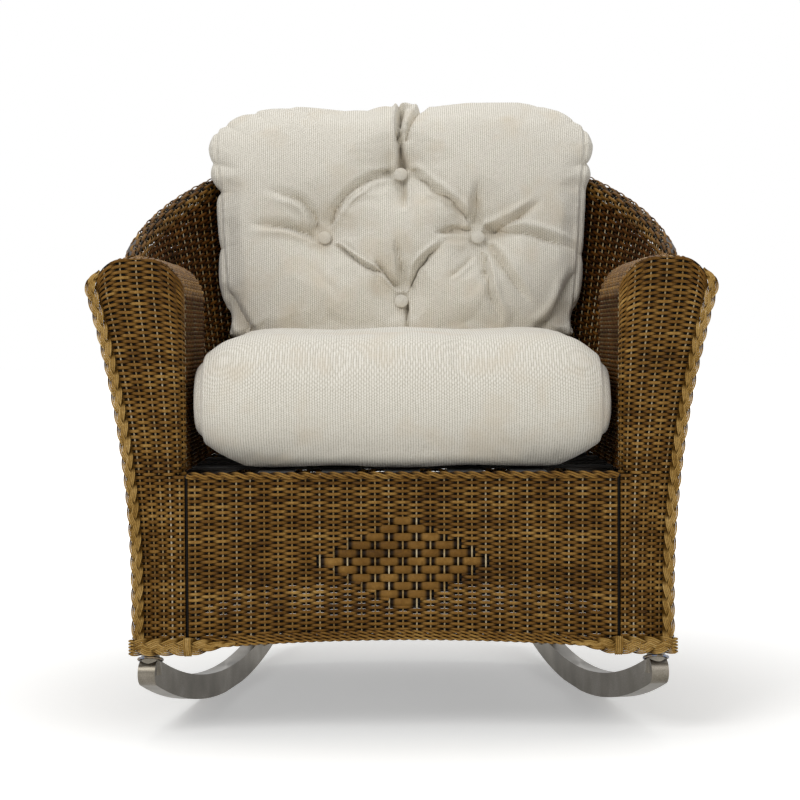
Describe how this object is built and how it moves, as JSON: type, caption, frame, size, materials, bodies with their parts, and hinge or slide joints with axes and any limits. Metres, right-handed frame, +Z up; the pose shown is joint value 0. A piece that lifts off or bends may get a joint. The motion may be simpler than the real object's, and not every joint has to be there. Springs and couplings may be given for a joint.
{
  "type": "rocking lounge chair",
  "caption": "Low, wide woven rocking lounge chair on two flat-bar runners, with a loose crowned seat cushion and a loose tufted back cushion.",
  "frame": {"origin": "on the floor under the middle of the chair's box", "axes": "+X to the right seen from the front, +Y to the back, +Z up; the chair faces -Y"},
  "size_m": [0.8904, 0.9354, 0.9557],
  "materials": {
    "runner_metal": "brushed",
    "frame_metal": "powder coated",
    "woven_wicker": "woven strands",
    "braid_wicker": "braided strands",
    "webbing": "elastic webbing",
    "cushion_fabric": "woven fabric",
    "cushion_filling": "fibre fill",
    "twine": "twisted"
  },
  "bodies": {
    "chair": {"runner_right": "runner_metal", "runner_left": "runner_metal", "front_leg_stub_right": "runner_metal", "front_leg_stub_left": "runner_metal", "rear_leg_stub_right": "runner_metal", "rear_leg_stub_left": "runner_metal", "rim_tube_right": "frame_metal", "rim_tube_left": "frame_metal", "arm_rail_right": "frame_metal", "arm_rail_left": "frame_metal", "front_post_right": "frame_metal", "front_post_left": "frame_metal", "rear_post_right": "frame_metal", "rear_post_left": "frame_metal", "seat_side_rail_right": "frame_metal", "seat_side_rail_left": "frame_metal", "lower_side_rail_right": "frame_metal", "lower_side_rail_left": "frame_metal", "back_upright_right": "frame_metal", "back_upright_left": "frame_metal", "arm_top_weave_right": "woven_wicker", "arm_top_weave_left": "woven_wicker", "arm_front_weave_right": "woven_wicker", "arm_front_weave_left": "woven_wicker", "arm_side_weave_right": "woven_wicker", "arm_side_weave_left": "woven_wicker", "arm_inside_weave_right": "woven_wicker", "arm_inside_weave_left": "woven_wicker", "wing_outer_weave_right": "woven_wicker", "wing_outer_weave_left": "woven_wicker", "wing_inner_weave_right": "woven_wicker", "wing_inner_weave_left": "woven_wicker", "arm_edge_braid_right": "braid_wicker", "arm_edge_braid_left": "braid_wicker", "arm_foot_braid_right": "braid_wicker", "arm_foot_braid_left": "braid_wicker", "rim_tube_top": "frame_metal", "seat_front_rail": "frame_metal", "lower_front_rail": "frame_metal", "seat_rear_rail": "frame_metal", "rear_bow": "frame_metal", "back_weave": "woven_wicker", "apron_weave": "woven_wicker", "webbing_lengthwise": "webbing", "webbing_crosswise": "webbing"},
    "seat_cushion": {"seat_cushion_cover": "cushion_fabric", "seat_cushion_core": "cushion_filling"},
    "back_cushion": {"back_cushion_cover": "cushion_fabric", "back_cushion_core": "cushion_filling", "front_button_top": "cushion_fabric", "front_button_right": "cushion_fabric", "front_button_left": "cushion_fabric", "front_button_bottom": "cushion_fabric", "rear_button_top": "cushion_fabric", "rear_button_right": "cushion_fabric", "rear_button_left": "cushion_fabric", "rear_button_bottom": "cushion_fabric", "tuft_twine": "twine"}
  },
  "joints": [
    {"name": "seat_cushion_slide", "type": "slide", "parent": "chair", "child": "seat_cushion", "axis": [0, -1, 0], "range_m": [0, 0.3]},
    {"name": "back_cushion_lift", "type": "slide", "parent": "chair", "child": "back_cushion", "axis": [0, 0.243, 0.97], "range_m": [0, 0.35]}
  ]
}
